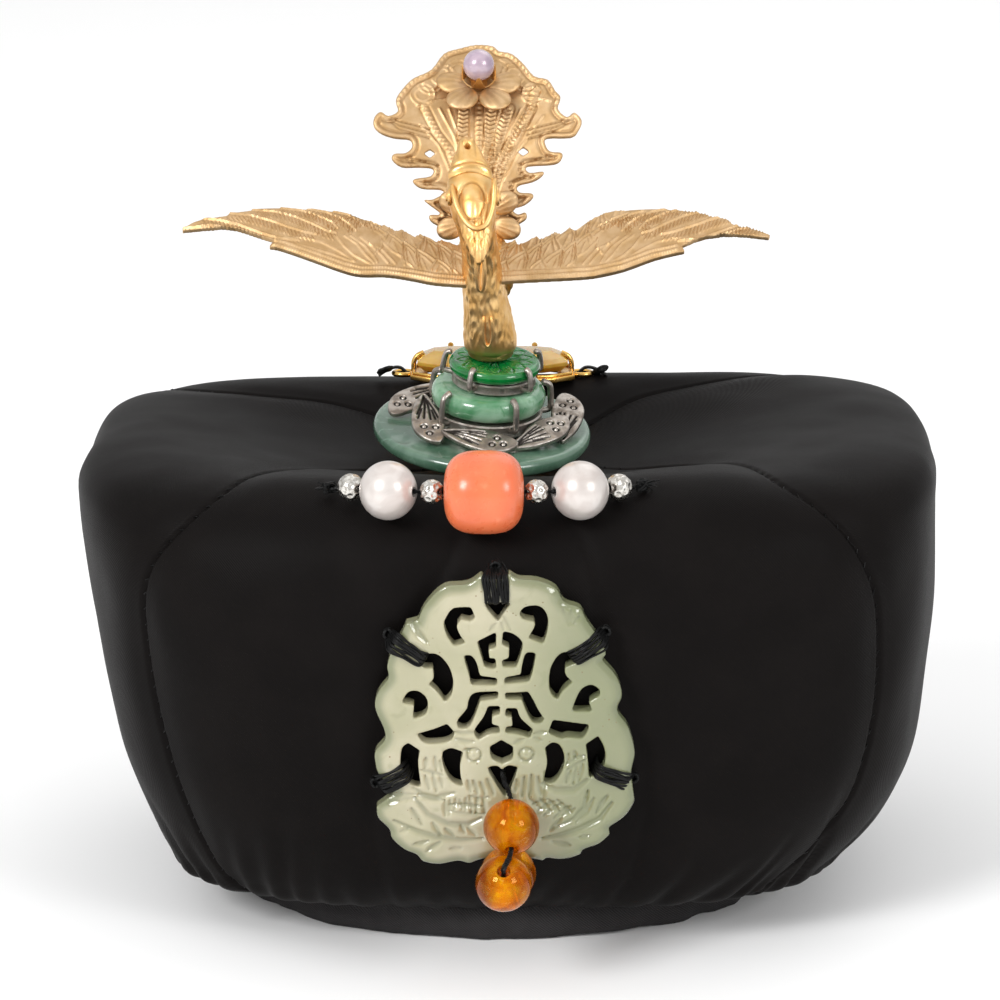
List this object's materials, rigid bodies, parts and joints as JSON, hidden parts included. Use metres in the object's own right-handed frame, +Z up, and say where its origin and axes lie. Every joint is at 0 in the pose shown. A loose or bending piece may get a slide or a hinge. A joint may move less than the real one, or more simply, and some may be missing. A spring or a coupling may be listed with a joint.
{
  "type": "bridal coronet",
  "caption": "Padded black satin crown over an open hem, with a gold phoenix on stacked jade, a bead string, a pierced jade plaque and a stone brooch.",
  "frame": {"origin": "on the surface the hem stands on, under the middle of the whole part's box", "axes": "+Z up, -Y toward the wearer's front, +X toward the wearer's left"},
  "size_m": [0.1536, 0.1422, 0.1512],
  "materials": {
    "satin": "black silk satin with a soft sheen",
    "facing": "dull grey-black twill",
    "thread": "black sewing thread",
    "plaque_jade": "softly polished pale celadon jade",
    "grey_jade": "polished grey-green jade",
    "pale_jade": "polished pale green jade",
    "green_jade": "polished deep green jade",
    "coral": "polished orange-pink coral",
    "pearl": "warm white pearl",
    "lilac_pearl": "lilac pearl",
    "amber": "clear brown-gold amber",
    "honey_stone": "clear honey-yellow cut stone",
    "silver": "hammered silver",
    "old_silver": "dark antiqued silver",
    "gold": "matte gilt metal"
  },
  "bodies": {
    "root": {"crown": "satin", "hem_band": "facing", "jade_plaque": "plaque_jade", "plaque_tie_top": "thread", "plaque_tie_upper_left": "thread", "plaque_tie_upper_right": "thread", "plaque_tie_lower_left": "thread", "plaque_tie_lower_right": "thread", "silver_bead_1": "silver", "silver_bead_2": "silver", "silver_bead_3": "silver", "silver_bead_4": "silver", "pearl_left": "pearl", "pearl_right": "pearl", "coral_bead": "coral", "bead_thread": "thread", "amber_bead_top": "amber", "amber_bead_front": "amber", "amber_bead_rear": "amber", "amber_thread": "thread", "jade_disc": "grey_jade", "leaf_setting": "old_silver", "middle_jade": "pale_jade", "top_setting": "old_silver", "top_jade": "green_jade", "phoenix": "gold", "tail_pearl": "lilac_pearl", "brooch_setting": "gold", "brooch_stone": "honey_stone", "brooch_tie_left": "thread", "brooch_tie_right": "thread"}
  },
  "joints": []
}
